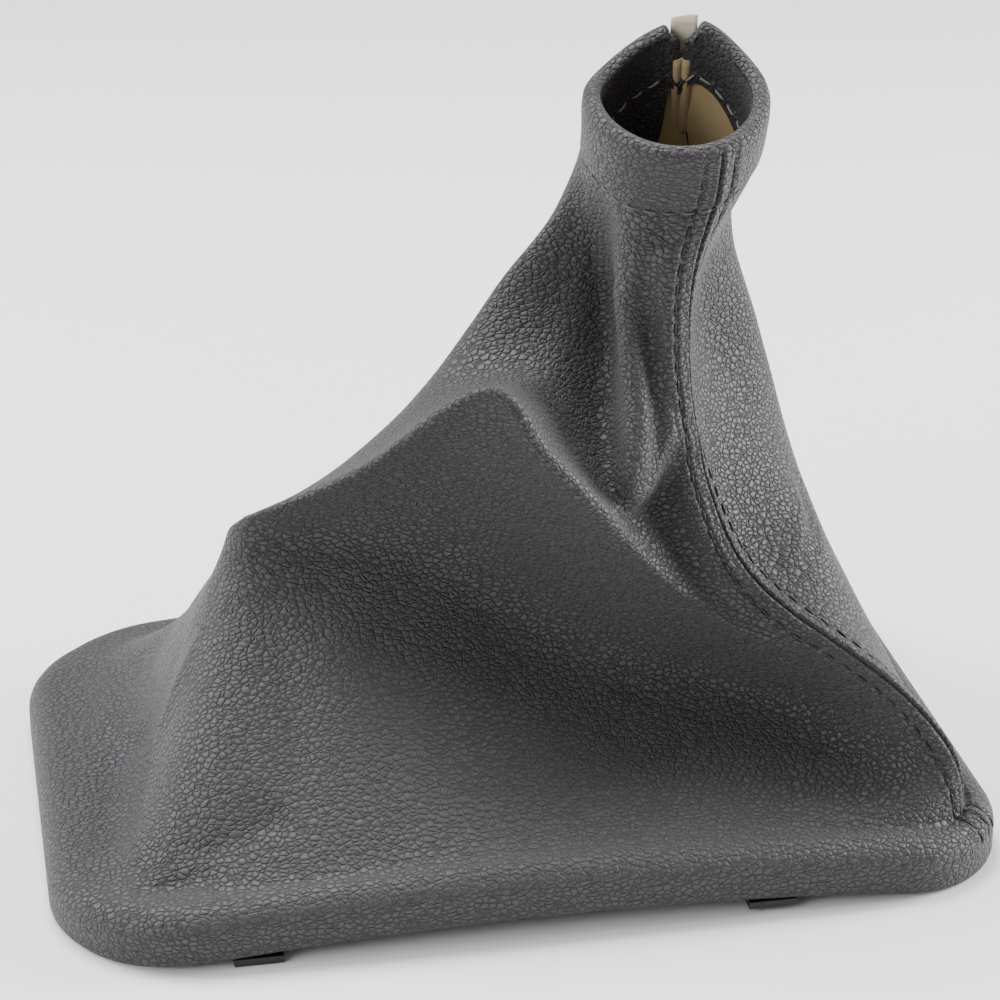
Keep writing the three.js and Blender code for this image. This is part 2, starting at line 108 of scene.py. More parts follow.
# The outline is walked clockwise from the middle of the front right corner. Each line is the end of a
# straight or round leg: the leg's length, the corner there and the direction of the outward normal.
LEGS = [
    (0, FRONT_RIGHT, -45),
    (right_quarter / 2, FRONT_RIGHT, -90),
    (FRONT_RIGHT[0] - FRONT_LEFT[0], FRONT_LEFT, -90),
    (left_quarter, FRONT_LEFT, -180),
    (BACK_LEFT[1] - FRONT_LEFT[1], BACK_LEFT, -180),
    (left_quarter, BACK_LEFT, -270),
    (BACK_RIGHT[0] - BACK_LEFT[0], BACK_RIGHT, -270),
    (right_quarter, BACK_RIGHT, -360),
    (BACK_RIGHT[1] - FRONT_RIGHT[1], FRONT_RIGHT, -360),
    (right_quarter / 2, FRONT_RIGHT, -405),
]
LEG_ENDS = np.cumsum([length for length, _, _ in LEGS])
LEG_X, LEG_Y, LEG_RADII = np.array([centre for _, centre, _ in LEGS]).T
LEG_NORMALS = [normal for _, _, normal in LEGS]
PERIMETER = LEG_ENDS[-1]

FRONT_LEFT_CORNER = LEG_ENDS[2] + left_quarter / 2
BACK_LEFT_CORNER = LEG_ENDS[4] + left_quarter / 2
BACK_RIGHT_CORNER = LEG_ENDS[6] + right_quarter / 2


def front_edge(share):
    return LEG_ENDS[1] + FRONT_RIGHT[0] - share * half_length


def left_edge(share):
    return LEG_ENDS[3] - FRONT_LEFT[1] + share * half_width


def back_edge(share):
    return LEG_ENDS[5] - BACK_LEFT[0] + share * half_length


def right_edge(share):
    return LEG_ENDS[7] + BACK_RIGHT[1] - share * half_width


# Sections through the leather, one at each station round the gaiter: the place on the frame, the
# direction round the collar in degrees, how far in from the edge the leather leaves the frame, and the
# section from the frame up to the collar. Its points are percentages: sideways of half the frame's
# length, backwards of half its width, and up of the collar's height, all counted from the line that
# leans from the middle of the frame to the middle of the collar.
STATIONS = [
    (  # front seam, on the front right corner
        -FRONT_SEAM_SHIFT, -74, SEAM_FLANGE_WIDTH,
        [(83.5, -80.5, 15.5), (70, -73, 24), (56.5, -64, 29.5), (45.5, -53.5, 33),
         (31.5, -39, 38.5), (20.5, -27, 52), (12.5, -21, 65.5), (8.5, -19, 78)],
    ),
    (  # right end of the front pocket
        front_edge(0.62), -91, FLANGE_WIDTH,
        [(66.5, -81, 10.5), (57, -51, 16), (52, -45.5, 21.5), (42.5, -52, 29),
         (23.5, -38, 41), (13.5, -30, 55.5), (7.5, -24, 67.5), (3, -21.5, 78.5)],
    ),
    (  # the pocket, and the tuck under the neck
        front_edge(0.4), -109, FLANGE_WIDTH,
        [(37, -78, 10.5), (35, -33, 18), (30.5, -35.5, 25.5), (22, -45, 35.5),
         (17.5, -27.5, 44), (8.5, -36.5, 54.5), (5.5, -17.5, 67), (-0.5, -19, 78.5)],
    ),
    (  # the tip of the neck's pouch
        front_edge(0.17), -131, FLANGE_WIDTH,
        [(12.5, -76, 11), (12.5, -24, 20.5), (6.5, -30.5, 32.5), (-2.5, -47, 49.5),
         (3, -35.5, 48.5), (3, -42.5, 53), (0.5, -18, 66), (-5.5, -13, 77.5)],
    ),
    (  # beside the neck
        front_edge(-0.08), -154, FLANGE_WIDTH,
        [(-12, -71.5, 12.5), (-8.5, -15, 27.5), (-11.5, -24.5, 40), (-17.5, -46.5, 58.5),
         (-2.5, -20.5, 53.5), (1.5, -2.5, 59.5), (0.5, 7, 69), (-3.5, 7.5, 78.5)],
    ),
    (  # the middle peak
        front_edge(-0.32), -176, FLANGE_WIDTH,
        [(-36, -70, 15), (-30, -12, 36), (-30.5, -20, 47.5), (-32.5, -41.5, 67.5),
         (-16.5, -9.5, 61), (-10.5, 6.5, 65.5), (-8, 13.5, 72), (-8, 15, 80)],
    ),
    (  # the ridge between the peaks
        front_edge(-0.56), -197, FLANGE_WIDTH,
        [(-58, -69, 15.5), (-51.5, -10.5, 39.5), (-52.5, -15, 46), (-52.5, -24.5, 53.5),
         (-35.5, 5, 58.5), (-26.5, 15, 67), (-20.5, 19.5, 74.5), (-12.5, 20, 81.5)],
    ),
    (  # the left peak, over the front left corner
        FRONT_LEFT_CORNER, -215, (FLANGE_WIDTH + SHELF_WIDTH) / 2,
        [(-78, -52, 17), (-72, -15.5, 33.5), (-70.5, -9.5, 40), (-72, -9, 45),
         (-45, 20.5, 44.5), (-29.5, 25, 55), (-22, 26, 67.5), (-13, 25.5, 79)],
    ),
    (  # left side, with the wide shelf
        left_edge(-0.26), -230, SHELF_WIDTH,
        [(-80, -8, 16.5), (-77.5, 1.5, 25.5), (-74, 8, 32.5), (-67.5, 15.5, 38),
         (-41.5, 34.5, 38.5), (-25, 36.5, 47.5), (-16, 34.5, 61.5), (-10, 30, 76)],
    ),
    (  # left side, towards the back
        left_edge(0.3), -243, SHELF_WIDTH,
        [(-77, 42, 14), (-71, 45.5, 21.5), (-64.5, 47, 28), (-56, 50.5, 34.5),
         (-39, 50, 39), (-27.5, 44.5, 48), (-16.5, 40, 60.5), (-10.5, 34.5, 76.5)],
    ),
    (  # back left corner
        BACK_LEFT_CORNER, -254, (FLANGE_WIDTH + SHELF_WIDTH) / 2,
        [(-70.5, 68, 14), (-61, 63, 20.5), (-52.5, 60.5, 27), (-44.5, 59, 33),
         (-32, 57, 42), (-22, 51, 53.5), (-14, 45.5, 66), (-8.5, 38.5, 81)],
    ),
    (  # back, left part
        back_edge(-0.42), -264, FLANGE_WIDTH,
        [(-39, 80.5, 17.5), (-32, 75, 27), (-26.5, 69.5, 36), (-21.5, 64.5, 45),
         (-16.5, 58.5, 55), (-10, 51.5, 66), (-5.5, 45, 76), (-1, 39.5, 86)],
    ),
    (  # back, middle
        back_edge(-0.02), -271.5, FLANGE_WIDTH,
        [(-4.5, 82, 18), (-3, 75.5, 27.5), (-2, 69.5, 36), (-1, 64, 45),
         (0.5, 57.5, 55.5), (1.5, 51, 66), (2, 45.5, 76), (3, 39.5, 86)],
    ),
    (  # back, right part
        back_edge(0.4), -279.5, FLANGE_WIDTH,
        [(33.5, 82, 17.5), (30.5, 75.5, 27), (27, 69.5, 36), (24, 63.5, 45),
         (20, 57.5, 55.5), (16.5, 51, 66), (13, 45, 76), (9, 39, 86)],
    ),
    (  # back seam, on the back right corner
        BACK_RIGHT_CORNER, -289, FLANGE_WIDTH,
        [(74.5, 73, 16), (66, 68, 26), (58, 63, 35), (50, 58, 44),
         (41.5, 52.5, 54.5), (32.5, 47, 65.5), (24.5, 42, 75.5), (16, 37.5, 86)],
    ),
    (  # right side, towards the back
        right_edge(0.3), -336, SIDE_FLANGE_WIDTH,
        [(81, 26, 16), (71, 23.5, 24), (63, 22.5, 32), (56, 21.5, 39.5),
         (49, 22, 49), (41, 22.5, 59), (30.5, 22, 70), (22, 19.5, 81.5)],
    ),
    (  # right side, towards the front
        right_edge(-0.26), -385, SIDE_FLANGE_WIDTH,
        [(80.5, -31.5, 16.5), (70, -23.5, 25.5), (62.5, -17, 32.5), (55.5, -12.5, 39),
         (44.5, -4.5, 46.5), (31, 3.5, 56.5), (18.5, 5.5, 67.5), (17, 6, 77)],
    ),
    (  # right side, next to the front seam
        right_edge(-0.56), -412, SIDE_FLANGE_WIDTH,
        [(81, -59, 17), (69.5, -52, 25.5), (60, -43.5, 31.5), (52.5, -35, 36.5),
         (39.5, -23, 42.5), (26, -12, 54), (15, -8, 66), (13, -7, 77.5)],
    ),
]
BACK_SEAM = 14
RIDGE = 3
SLIT_TURN = STATIONS[BACK_SEAM][1]
MAIN, SIDE = 1, -1


def round_stations(values, place, lap=0.0):
    """A smooth curve through one value for each station. lap is what a value gains in a full turn."""
    values = np.asarray(values, float)
    first = np.floor(place).astype(int)
    f = (place - first).reshape((-1,) + (1,) * (values.ndim - 1))
    near = []
    for k in (first - 1, first, first + 1, first + 2):
        full_turns = (k // len(values)).reshape(f.shape)
        near.append(values[k % len(values)] + full_turns * lap)
    a, b, c, d = near
    square = (2 * a - 5 * b + 4 * c - d) * f**2
    cube = (3 * b - a - 3 * c + d) * f**3
    return (2 * b + (c - a) * f + square + cube) / 2


def edge_at(place):
    return round_stations([s[0] for s in STATIONS], place, PERIMETER)


def turn_at(place):
    return round_stations([s[1] for s in STATIONS], place, -360)


def flange_at(place):
    return round_stations([s[2] for s in STATIONS], place)


def frame_point(place, inset, height):
    """Points of the frame: in from the outline at station places, and up from its arched underside."""
    walk = edge_at(place) % PERIMETER
    angle = np.radians(np.interp(walk, LEG_ENDS, LEG_NORMALS))
    out = np.interp(walk, LEG_ENDS, LEG_RADII) - inset
    x = np.interp(walk, LEG_ENDS, LEG_X) + out * np.cos(angle)
    y = np.interp(walk, LEG_ENDS, LEG_Y) + out * np.sin(angle)
    arch = FRAME_ARCH * np.maximum(0, 1 - (x / (half_length - FLAT_END)) ** 2)
    return np.stack([x, y, height + arch], -1)


side_tilt, back_tilt = np.radians(COLLAR_SIDE_TILT), np.radians(COLLAR_TILT)
COLLAR_CENTRE = np.array([COLLAR_X, COLLAR_Y, COLLAR_HEIGHT], float)
COLLAR_AXIS = np.array([-np.sin(side_tilt), -np.sin(back_tilt), np.cos(back_tilt)])
COLLAR_AXIS /= np.linalg.norm(COLLAR_AXIS)
COLLAR_RIGHT = np.array([1.0, 0, 0]) - COLLAR_AXIS[0] * COLLAR_AXIS
COLLAR_RIGHT /= np.linalg.norm(COLLAR_RIGHT)
COLLAR_BACK = np.cross(COLLAR_AXIS, COLLAR_RIGHT)


def smooth_step(x, low, high):
    """0 below low, 1 above high, and a smooth climb between them. High may be the lower one."""
    f = np.clip((x - low) / (high - low), 0, 1)
    return f * f * (3 - 2 * f)


def bump(turn, centre, width):
    """1 at a direction round the collar, falling off smoothly to each side of it."""
    away = (turn - centre + 180) % 360 - 180
    return np.exp(-((away / width) ** 2))


def collar_oval(turn, radius, drop):
    """Points of the tilted collar, `drop` below its rim. It narrows towards the back of its rim."""
    near_rim = np.clip(1 - drop / HEM_HEIGHT, 0, 1)
    angle = np.radians(turn)
    narrowed = 1 - COLLAR_TAPER * near_rim * np.maximum(0, np.sin(angle)) ** 2
    rise = LIP_RISE * bump(turn, LIP_RISE_TURN, LIP_RISE_SPREAD)
    fall = LIP_DROP * bump(turn, LIP_DROP_TURN, LIP_DROP_SPREAD)
    climb = SLIT_RISE * bump(turn, SLIT_TURN, SLIT_RISE_SPREAD)
    lift = near_rim * (rise + climb - fall)
    return (
        COLLAR_CENTRE
        + np.outer(lift - drop, COLLAR_AXIS)
        + np.outer(radius * narrowed * np.cos(angle), COLLAR_RIGHT)
        + np.outer(radius * COLLAR_DEPTH_RATIO * np.sin(angle), COLLAR_BACK)
    )


def collar_point(place, panel, radius, drop):
    """Points of the collar's leather. The two panels part at the slit, where their corners are round."""
    sewn = turn_at(place)
    opening = smooth_step(drop, SLIT_DEPTH, SLIT_DEPTH - SLIT_CLOSING)
    half_slit = np.degrees((SLIT_WIDTH / 2 + ROLL_RADIUS) / COLLAR_RADIUS)
    turn = sewn + panel * half_slit * opening * bump(sewn, SLIT_TURN, SLIT_SPREAD)
    from_slit = np.radians(np.abs((sewn - SLIT_TURN + 180) % 360 - 180)) * COLLAR_RADIUS
    inside = np.clip(LIP_CORNER - from_slit, 0, LIP_CORNER)
    near_rim = np.clip(1 - drop / HEM_HEIGHT, 0, 1)
    sunk = near_rim * (LIP_CORNER - np.sqrt(LIP_CORNER**2 - inside**2))
    return collar_oval(turn, radius, drop + sunk)


def hood_controls(place, panel):
    """The control points of each column, from the rim up to the roll: an array of level, column, xyz."""
    flange = flange_at(place)
    section = round_stations([s[3] for s in STATIONS], place) / PERCENT
    across, back, up = np.moveaxis(section, -1, 0)
    folds = np.stack([
        up * COLLAR_X + across * half_length,
        up * COLLAR_Y + back * half_width,
        up * COLLAR_HEIGHT,
    ], -1).swapaxes(0, 1)
    return np.array([
        frame_point(place, RIM_ROUND, RIM_HEIGHT),
        frame_point(place, (RIM_ROUND + flange) / 2, RIM_HEIGHT),
        frame_point(place, flange, RIM_HEIGHT + GAP),
        *folds[: RIDGE + 1],
        *folds[RIDGE:],
        collar_point(place, panel, COLLAR_RADIUS - HEM_WAIST, HEM_HEIGHT),
        collar_point(place, panel, COLLAR_RADIUS - HEM_WAIST / 2, HEM_HEIGHT / 2),
        collar_point(place, panel, COLLAR_RADIUS, ROLL_RADIUS),
    ])


def spline_points(controls, level):
    """A uniform cubic B-spline through each column, at levels from 0 to the last control."""
    first = 2 * controls[:1] - controls[1:2]
    last = 2 * controls[-1:] - controls[-2:-1]
    ends = np.concatenate([first, controls, last])
    span = np.minimum(level.astype(int), len(controls) - 2)
    f = (level - span).reshape(-1, 1, 1)
    weights = [(1 - f) ** 3, 3 * f**3 - 6 * f**2 + 4, -3 * f**3 + 3 * f**2 + 3 * f + 1, f**3]
    return sum(w * ends[span + k] for k, w in enumerate(weights)) / 6


def places_between(start, end):
    """Station places of a panel's columns: even along the frame, and close together next to its seams."""
    fine = np.linspace(start, end, WALK_SAMPLES)
    walk = edge_at(fine)
    from_seam = np.minimum(walk - walk[0], walk[-1] - walk)
    spacing = np.where(from_seam < SEAM_COLUMNS_WITHIN, SEAM_COLUMN_SPACING, COLUMN_SPACING)
    steps = np.concatenate([[0], np.cumsum(np.diff(walk) / spacing[1:])])
    count = int(np.ceil(steps[-1]))
    return np.interp(np.linspace(0, steps[-1], count + 1), steps, fine)


def hood_levels():
    """Levels of the rows from the rim to the roll, spaced evenly along the leather on average."""
    place = np.linspace(0, len(STATIONS), COLUMN_SAMPLES)
    controls = hood_controls(place, MAIN)
    fine = np.linspace(0, len(controls) - 1, LEVEL_SAMPLES)
    points = spline_points(controls, fine)
    climb = np.linalg.norm(np.diff(points, axis=0), axis=2)
    average = climb.mean(1) * MEAN_SHARE + climb.max(1) * (1 - MEAN_SHARE)
    steps = np.concatenate([[0], np.cumsum(average)])
    count = int(np.ceil(steps[-1] / ROW_SPACING))
    return np.interp(np.linspace(0, steps[-1], count + 1), steps, fine)


def unit(v):
    """Vectors made one long."""
    return v / np.maximum(np.linalg.norm(v, axis=-1, keepdims=True), 1e-9)


def along_line(at, known, points):
    """Points of a line at the given distances, from the known distances of its own points."""
    return np.stack([np.interp(at, known, points[:, axis]) for axis in range(3)], -1)


def grid_normals(grid):
    """Outward unit normals of a grid of rows going up and columns going clockwise."""
    along = np.gradient(grid, axis=1)
    up = np.gradient(grid, axis=0)
    return unit(np.cross(up, along))


def groove(distance, width):
    """1 at no distance, falling off smoothly to each side."""
    return np.exp(-((distance / width) ** 2))


def from_curve(points, curve, reach):
    """Distance of a grid's points from a curve with one point a row, and how far along it each lies.

    Only the curve's stretch within `reach` rows of a point's own row is looked at.
    """
    rows = np.arange(len(points))
    step = np.diff(curve, axis=0)
    length = np.linalg.norm(step, axis=1)
    start = np.concatenate([[0], np.cumsum(length)])
    best = np.full(points.shape[:2], np.inf)
    along = np.zeros(points.shape[:2])
    for shift in range(-reach, reach + 1):
        k = np.clip(rows + shift, 0, len(step) - 1)
        towards = points - curve[k, None]
        share = np.clip((towards * step[k, None]).sum(-1) / length[k, None] ** 2, 0, 1)
        away = np.linalg.norm(towards - share[..., None] * step[k, None], axis=-1)
        nearer = away < best
        best = np.where(nearer, away, best)
        along = np.where(nearer, start[k, None] + share * length[k, None], along)
    return best, along


# Seams: the two panels butt, and a row of topstitching holds each turned edge down. The leather is
# raised beside the seam, with a lip at the cleft and a furrow along each row, deeper at each stitch.
STITCH_PITCH = 4.1
STITCH_LENGTH = 3.1
STITCH_LINE = 3.5
SEAM_BAND = 4.2
SEAM_BAND_FOOT = 6
SEAM_RISE = 0.35
SEAM_REACH = 16
LIP_HEIGHT = 0.3
LIP_LINE = 0.9
LIP_WIDTH = 0.6
CLEFT_DEPTH = 0.75
CLEFT_WIDTH = 0.32
ROW_DEPTH = 0.4
ROW_DENT = 0.35
ROW_WIDTH = 0.55

# The side panel dips beside the front seam, so that the seam stands up as an edge
SEAM_DIP = 1.4
SEAM_DIP_WIDTH = 8
SEAM_DIP_FROM = 30
SEAM_DIP_FULL = 60


def stitch_dents(along):
    """From 0 to 1 and back over each stitch of a row."""
    return (1 + np.cos(2 * np.pi * along / STITCH_PITCH)) / 2


def seam_relief(away, along):
    """Height of the leather beside a seam: a raised band, a cleft and a dent at each stitch."""
    band = SEAM_RISE * smooth_step(away, SEAM_BAND_FOOT, SEAM_BAND)
    lip = LIP_HEIGHT * groove(away - LIP_LINE, LIP_WIDTH)
    cleft = CLEFT_DEPTH * groove(away, CLEFT_WIDTH)
    row = (ROW_DEPTH + ROW_DENT * stitch_dents(along)) * groove(away - STITCH_LINE, ROW_WIDTH)
    return band + lip - cleft - row


# The hem's stitching: higher at the slit and lower on the left than at the front. The hem is full
# above it.
HEM_STITCH = 15.8
STITCH_RISE = 3
STITCH_RISE_SPREAD = 60
STITCH_FALL = 2
STITCH_FALL_TURN = -175
STITCH_FALL_SPREAD = 40
HEM_PUFF = 0.35
HEM_PUFF_FOOT = 0.4
HEM_PUFF_FULL = -2.5
HEM_PUFF_FADE = 5
HEM_ROW_DEPTH = 0.3
HEM_ROW_DENT = 0.25
HEM_ROW_WIDTH = 0.6


def stitch_depth(turn):
    """How far below the rim the hem is stitched."""
    rise = STITCH_RISE * bump(turn, SLIT_TURN, STITCH_RISE_SPREAD)
    return HEM_STITCH - rise + STITCH_FALL * bump(turn, STITCH_FALL_TURN, STITCH_FALL_SPREAD)


def hem_relief(from_rim, along, stitched):
    """Height of the leather at the hem, which is full above its stitching."""
    below = from_rim - stitched
    full = smooth_step(below, HEM_PUFF_FOOT, HEM_PUFF_FULL) * smooth_step(from_rim, 0, HEM_PUFF_FADE)
    row = (HEM_ROW_DEPTH + HEM_ROW_DENT * stitch_dents(along)) * groove(below, HEM_ROW_WIDTH)
    return HEM_PUFF * full - row


# Creases: stations and levels of a few points along each, its width and its height, where a groove is
# below 0. Levels count the sections' controls from the rim up.
CREASES = [
    # the neck's ridge, down to the tip of the pouch, and the furrow beside it
    ([(3.1, 10.9), (2.8, 10.7), (2.63, 10.16), (2.5, 9.7), (2.5, 9.27), (2.57, 8.7)], 2.6, 2.0),
    ([(2.3, 10.7), (2.07, 10.07), (1.9, 9.5), (1.83, 9.2)], 2.6, -0.7),
    # the pouch's lip and the tuck under it
    ([(3.0, 7.7), (2.57, 8.47), (2.3, 8.65), (1.83, 8.95), (0.87, 9.35)], 1.8, 1.6),
    ([(2.9, 7.3), (2.45, 8.05), (2.15, 8.25), (1.7, 8.55), (0.9, 9.0)], 3.2, -2.4),
    # the crest over the peaks and down to the front
    ([(7.0, 6.4), (6.0, 6.5), (5.0, 6.4)], 3.5, 0.7),
    ([(5.1, 6.4), (4.23, 6.25), (3.13, 6.37), (2.8, 5.85), (2.67, 5.43)], 3.0, 1.3),
    # the valley under the crest, deeper in the pocket
    ([(6.87, 5.5), (5.97, 4.4), (5.0, 4.17), (4.1, 4.17), (3.0, 4.26), (2.03, 4.4)], 8.0, -1.2),
    ([(2.4, 4.4), (2.0, 4.4), (1.23, 4.35), (0.87, 3.75), (0.6, 3.0)], 8.0, -1.5),
    ([(2.9, 4.03), (2.63, 4.07), (2.45, 3.95)], 1.2, -0.9),
    # short creases on the side panel and under the hem
    ([(15.9, 7.6), (16.3, 7.4), (17.03, 7.35), (17.4, 7.4)], 2.0, 0.8),
    ([(15.6, 7.4), (16.0, 7.2), (16.6, 7.0)], 2.5, -1.2),
    ([(2.2, 11.9), (1.63, 11.6), (1.15, 11.4)], 2.4, -0.9),
    ([(4.3, 10.2), (3.4, 10.35)], 2.0, -0.8),
    # the neck's left edge stands off the slope behind it
    ([(5.0, 11.2), (4.7, 10.5), (4.35, 9.9), (4.0, 9.3), (3.75, 8.8)], 2.2, -1.0),
    # the soft fold down the front, and the creases at its foot
    ([(6.6, 4.2), (6.37, 3.7), (6.13, 3.42), (5.93, 3.09), (5.9, 2.5)], 6.0, -1.3),
    ([(6.9, 4.0), (6.75, 3.4), (6.6, 2.9), (6.5, 2.4)], 6.0, 0.8),
    ([(6.95, 0.9), (6.8, 1.3), (6.6, 1.8), (6.35, 2.05)], 2.4, -1.8),
    ([(6.8, 2.2), (6.45, 2.4), (6.2, 2.6), (6.0, 2.8)], 5.0, -1.6),
    # the left wall's edge over the shelf, and the dips and the rise of the shelf beside it
    ([(7.3, 4.1), (7.5, 3.6), (7.7, 3.0), (7.6, 2.4), (7.1, 1.9)], 3.0, 1.5),
    ([(8.6, 2.1), (8.4, 1.2), (8.0, 1.0), (7.5, 1.2)], 5.0, -1.6),
    ([(9.6, 1.5), (9.1, 1.5), (8.8, 1.0)], 4.0, 1.2),
]
CREST_SOFTNESS = 0.9
CREASE_SAMPLES = 9
CREASE_REACH = 5


def crest(distance, width):
    """1 on a crease's line and falling off to each side, nearly straight down from its rounded top."""
    soft = np.sqrt(distance**2 + CREST_SOFTNESS**2) - CREST_SOFTNESS
    return np.exp(-soft / width)


def crease_relief(points, panel):
    """Height of all the creases at each point of a panel."""
    relief = np.zeros(points.shape[:2])
    for route, width, height in CREASES:
        route = np.array(route, float)
        knots = np.linspace(0, 1, len(route))
        share = np.linspace(0, 1, CREASE_SAMPLES * len(route))
        place = np.interp(share, knots, route[:, 0])
        level = np.interp(share, knots, route[:, 1])
        curve = spline_points(hood_controls(place, panel), level)
        curve = curve[np.arange(len(share)), np.arange(len(share))]
        reach = CREASE_REACH * width + np.ptp(curve, axis=0).max()
        near = np.linalg.norm(points - curve.mean(0), axis=-1) < reach
        close = points[near]
        step = np.diff(curve, axis=0)
        towards = close[:, None] - curve[:-1]
        part = np.clip((towards * step).sum(-1) / (step**2).sum(-1), 0, 1)
        away = np.linalg.norm(towards - part[..., None] * step, axis=-1)
        nearest = away.argmin(1)
        picked = np.arange(len(close))
        along = (nearest + part[picked, nearest]) / len(step)
        taper = np.sqrt(np.clip(np.sin(np.pi * along), 0, 1))
        relief[near] += height * taper * crest(away[picked, nearest], width)
    return relief


# Slack in the leather: slow waves, the longer ones higher
WAVES = [(26, 0.5), (11, 0.16)]


def slack_relief(points):
    """Height of the slow waves at each point."""
    flat = points.reshape(-1, 3)
    total = np.zeros(len(flat))
    for length, height in WAVES:
        total += height * np.array([noise.noise(Vector(p) / length) for p in flat])
    return total.reshape(points.shape[:2])


# The frame's skirt in from the outline, and the rows of the leather that wraps it
skirt_outer = LEATHER + GAP
skirt_inner = skirt_outer + SKIRT_WALL
shoulder = RIM_HEIGHT - RIM_ROUND
ABOVE_TURN = 2
BOTTOM_TURNS = 4
RIM_STEPS = 7
RIM_ROWS = RIM_STEPS - 1


def wrap_rows(place):
    """The leather's outer face from its turned-in edge inside the skirt, under it and up to the rim."""
    skin = GAP + LEATHER
    rows = [
        (skirt_inner + GAP, TURNED_IN),
        (skirt_inner + skin, TURNED_IN),
        (skirt_inner + skin, skirt_outer + ABOVE_TURN),
    ]
    for angle in np.linspace(0, np.pi / 2, BOTTOM_TURNS):
        rows.append((skirt_inner + skin * np.cos(angle), skirt_outer - skin * np.sin(angle)))
    for angle in np.linspace(np.pi / 2, np.pi, BOTTOM_TURNS):
        rows.append((skirt_outer + skin * np.cos(angle), skirt_outer - skin * np.sin(angle)))
    for angle in np.linspace(0, np.pi / 2, RIM_STEPS)[:-1]:
        rows.append((RIM_ROUND * (1 - np.cos(angle)), shoulder + RIM_ROUND * np.sin(angle)))
    return np.array([frame_point(place, inset, height) for inset, height in rows])


# The hem's inside reaches down past its stitching, and further away from the slit
ROLL_STEPS = 9
INNER_HEM_ROWS = 26
HEM_ALLOWANCE = 2.4
DEEP_HEM = {MAIN: 34, SIDE: 19}
DEEP_HEM_FROM = {MAIN: 7, SIDE: 20}
DEEP_HEM_TO = {MAIN: 14, SIDE: 90}
EDGE_STEPS = 6
EDGE_LIFT = 0.1

# The folds fade out near the collar's rim, in this many millimetres, and over the frame's rim, in rows
SLACK_FADE = 30
FOLD_FADE_ROWS = 8
SEAM_FADE_ROWS = 3


def roll_rows(place, panel):
    """The rim's roll, from just past its outermost point over the top to the inside."""
    middle = COLLAR_RADIUS - ROLL_RADIUS
    rows = []
    for angle in np.linspace(0, np.pi, ROLL_STEPS)[1:]:
        radius = middle + ROLL_RADIUS * np.cos(angle)
        rows.append(collar_point(place, panel, radius, ROLL_RADIUS * (1 - np.sin(angle))))
    return np.array(rows)


def hem_reach(turn, panel):
    """How far down the leather is turned in behind the collar: little at the slit and far away from it."""
    from_slit = np.abs((turn - SLIT_TURN + 180) % 360 - 180)
    deep = smooth_step(from_slit, DEEP_HEM_FROM[panel], DEEP_HEM_TO[panel])
    short = stitch_depth(turn) + HEM_ALLOWANCE
    return short + (DEEP_HEM[panel] - short) * deep


def across_slit():
    """The direction across the slit, from the main panel's lip to the side panel's."""
    a, b = collar_oval(np.array([SLIT_TURN + 1, SLIT_TURN - 1]), COLLAR_RADIUS, 0)
    return unit(b - a)


